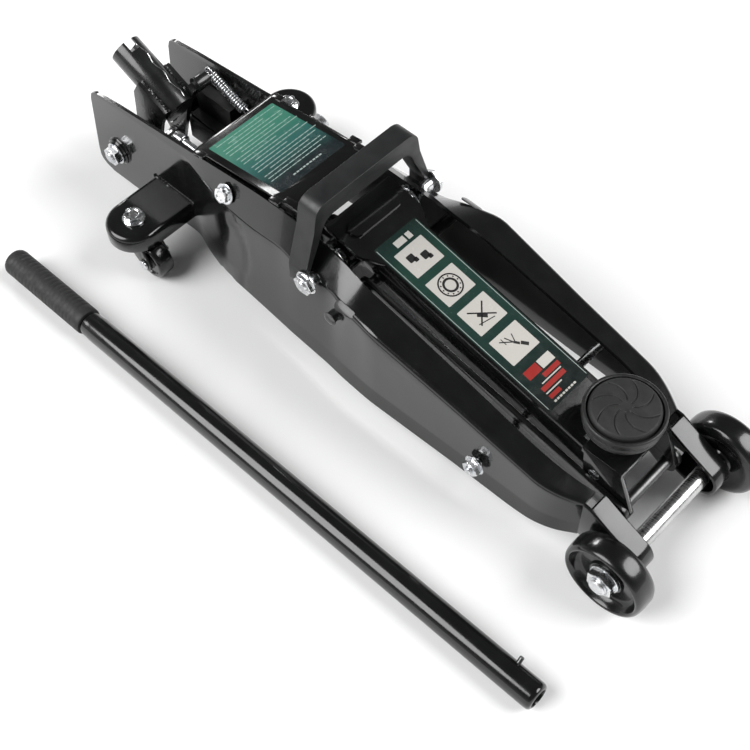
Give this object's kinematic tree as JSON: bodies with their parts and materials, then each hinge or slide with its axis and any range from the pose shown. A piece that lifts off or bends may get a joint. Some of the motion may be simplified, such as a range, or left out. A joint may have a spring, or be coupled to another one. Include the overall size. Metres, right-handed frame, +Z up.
{
  "type": "hydraulic floor jack",
  "caption": "Low trolley jack with two pressed side plates, lifting arm with swivelling saddle, hydraulic power unit, carry handle, and loose pump handle.",
  "frame": {"origin": "centre of the bounding box on the floor, with the loose pump handle lying beside the jack", "axes": "+X from the handle socket towards the saddle, +Z up, the pump handle lies on the -Y side"},
  "size_m": [0.6476, 0.309, 0.182],
  "materials": {
    "black_gloss": "gloss black stove enamel",
    "black_wheel": "gloss black moulded nylon",
    "black_satin": "satin black paint",
    "handle_black": "fine-grained matte black",
    "rubber_black": "matte ribbed rubber",
    "zinc_bright": "bright zinc plate",
    "steel_bare": "turned bare steel, lightly oiled",
    "steel_dark": "black-oxide steel",
    "iron_black": "painted as-cast iron",
    "red_cap": "red moulded cap"
  },
  "bodies": {
    "frame": {"side_plate_left": "black_gloss", "side_plate_right": "black_gloss", "front_axle": "steel_bare", "axle_nut_left": "zinc_bright", "axle_nut_right": "zinc_bright", "tie_bolt": "zinc_bright", "tie_bolt_nut": "zinc_bright", "caster_bracket_left": "black_gloss", "caster_bracket_right": "black_gloss", "caster_bolt_left": "zinc_bright", "caster_bolt_right": "zinc_bright", "cover_plate": "black_gloss", "cover_bolt_left": "zinc_bright", "cover_bolt_right": "zinc_bright", "carry_handle": "handle_black", "arm_shaft": "zinc_bright", "arm_shaft_nut": "zinc_bright", "arm_spring_left": "zinc_bright", "arm_spring_right": "zinc_bright", "radius_rod_shaft": "steel_dark", "hydraulic_base": "iron_black", "reservoir": "black_satin", "tank_nut": "steel_dark", "pump_barrel": "steel_bare", "filler_plug": "rubber_black", "safety_valve_cap": "red_cap", "socket_bolt_left": "zinc_bright", "socket_bolt_right": "zinc_bright", "socket_spring": "zinc_bright", "plunger_spring": "zinc_bright"},
    "arm": {"lift_arm": "black_gloss", "ram_lug_pin": "steel_bare"},
    "bracket": {"saddle_bracket": "black_gloss", "saddle_pivot_pin": "zinc_bright", "bracket_pin": "steel_dark"},
    "saddle": {"saddle_cup": "iron_black", "saddle_pad": "rubber_black"},
    "rods": {"radius_rod_left": "black_satin", "radius_rod_right": "black_satin"},
    "piston": {"ram": "steel_bare", "crosshead_pin": "steel_bare", "push_link_left": "steel_dark", "push_link_right": "steel_dark"},
    "wheel_left": {"front_wheel_left": "black_wheel"},
    "wheel_right": {"front_wheel_right": "black_wheel"},
    "fork_left": {"caster_fork_left": "black_satin", "caster_axle_left": "zinc_bright"},
    "fork_right": {"caster_fork_right": "black_satin", "caster_axle_right": "zinc_bright"},
    "caster_left": {"caster_wheel_left": "black_wheel"},
    "caster_right": {"caster_wheel_right": "black_wheel"},
    "valve": {"release_valve": "zinc_bright"},
    "socket": {"handle_socket": "black_satin", "socket_roller": "steel_bare"},
    "plunger": {"pump_plunger": "steel_bare"},
    "loose_handle": {"pump_handle": "black_gloss", "handle_grip": "rubber_black", "handle_pin": "zinc_bright"}
  },
  "joints": [
    {"name": "arm_lift", "type": "hinge", "parent": "frame", "child": "arm", "pos_m": [-0.01922, 0.03599, 0.113], "axis": [0, -1, 0], "range_deg": [0, 60]},
    {"name": "bracket_level", "type": "hinge", "parent": "arm", "child": "bracket", "pos_m": [0.23678, 0.03599, 0.066], "axis": [0, -1, 0], "range_deg": [-60, 0]},
    {"name": "saddle_swivel", "type": "hinge", "parent": "bracket", "child": "saddle", "pos_m": [0.23428, 0.03599, 0.1], "axis": [0, 0, 1], "continuous": true},
    {"name": "rods_lift", "type": "hinge", "parent": "frame", "child": "rods", "pos_m": [0.00878, 0.03599, 0.095], "axis": [0, -1, 0], "range_deg": [0, 60]},
    {"name": "ram_stroke", "type": "slide", "parent": "frame", "child": "piston", "axis": [1, 0, 0], "range_m": [0, 0.0425]},
    {"name": "wheel_left_roll", "type": "hinge", "parent": "frame", "child": "wheel_left", "pos_m": [0.28878, 0.10698, 0.035], "axis": [0, 1, 0], "continuous": true},
    {"name": "wheel_right_roll", "type": "hinge", "parent": "frame", "child": "wheel_right", "pos_m": [0.28878, -0.03501, 0.035], "axis": [0, 1, 0], "continuous": true},
    {"name": "caster_left_swivel", "type": "hinge", "parent": "frame", "child": "fork_left", "pos_m": [-0.21422, 0.12898, 0.048], "axis": [0, 0, 1], "continuous": true},
    {"name": "caster_right_swivel", "type": "hinge", "parent": "frame", "child": "fork_right", "pos_m": [-0.21422, -0.05702, 0.048], "axis": [0, 0, 1], "continuous": true},
    {"name": "caster_left_roll", "type": "hinge", "parent": "fork_left", "child": "caster_left", "pos_m": [-0.19522, 0.12898, 0.018], "axis": [0, 1, 0], "continuous": true},
    {"name": "caster_right_roll", "type": "hinge", "parent": "fork_right", "child": "caster_right", "pos_m": [-0.19522, -0.05702, 0.018], "axis": [0, 1, 0], "continuous": true},
    {"name": "release_turn", "type": "hinge", "parent": "frame", "child": "valve", "pos_m": [-0.21622, 0.00799, 0.098], "axis": [1, 0, 0], "range_deg": [0, 180]},
    {"name": "socket_pump", "type": "hinge", "parent": "frame", "child": "socket", "pos_m": [-0.28822, 0.03599, 0.05], "axis": [0, 1, 0], "range_deg": [-10, 40], "deforming": ["socket_spring"]},
    {"name": "plunger_stroke", "type": "slide", "parent": "frame", "child": "plunger", "axis": [1, 0, 0], "range_m": [-0.0127, 0.0032], "deforming": ["plunger_spring"]},
    {"name": "handle_lift_off", "type": "slide", "parent": "frame", "child": "loose_handle", "axis": [0, 0, 1], "range_m": [0, 0.25]}
  ],
  "couplings": [
    {"joint": "bracket_level", "follows": "arm_lift", "ratio": -1},
    {"joint": "rods_lift", "follows": "arm_lift", "ratio": 1},
    {"joint": "ram_stroke", "follows": "arm_lift", "m_per_rad": 0.04},
    {"joint": "plunger_stroke", "follows": "socket_pump", "m_per_rad": -0.018}
  ]
}
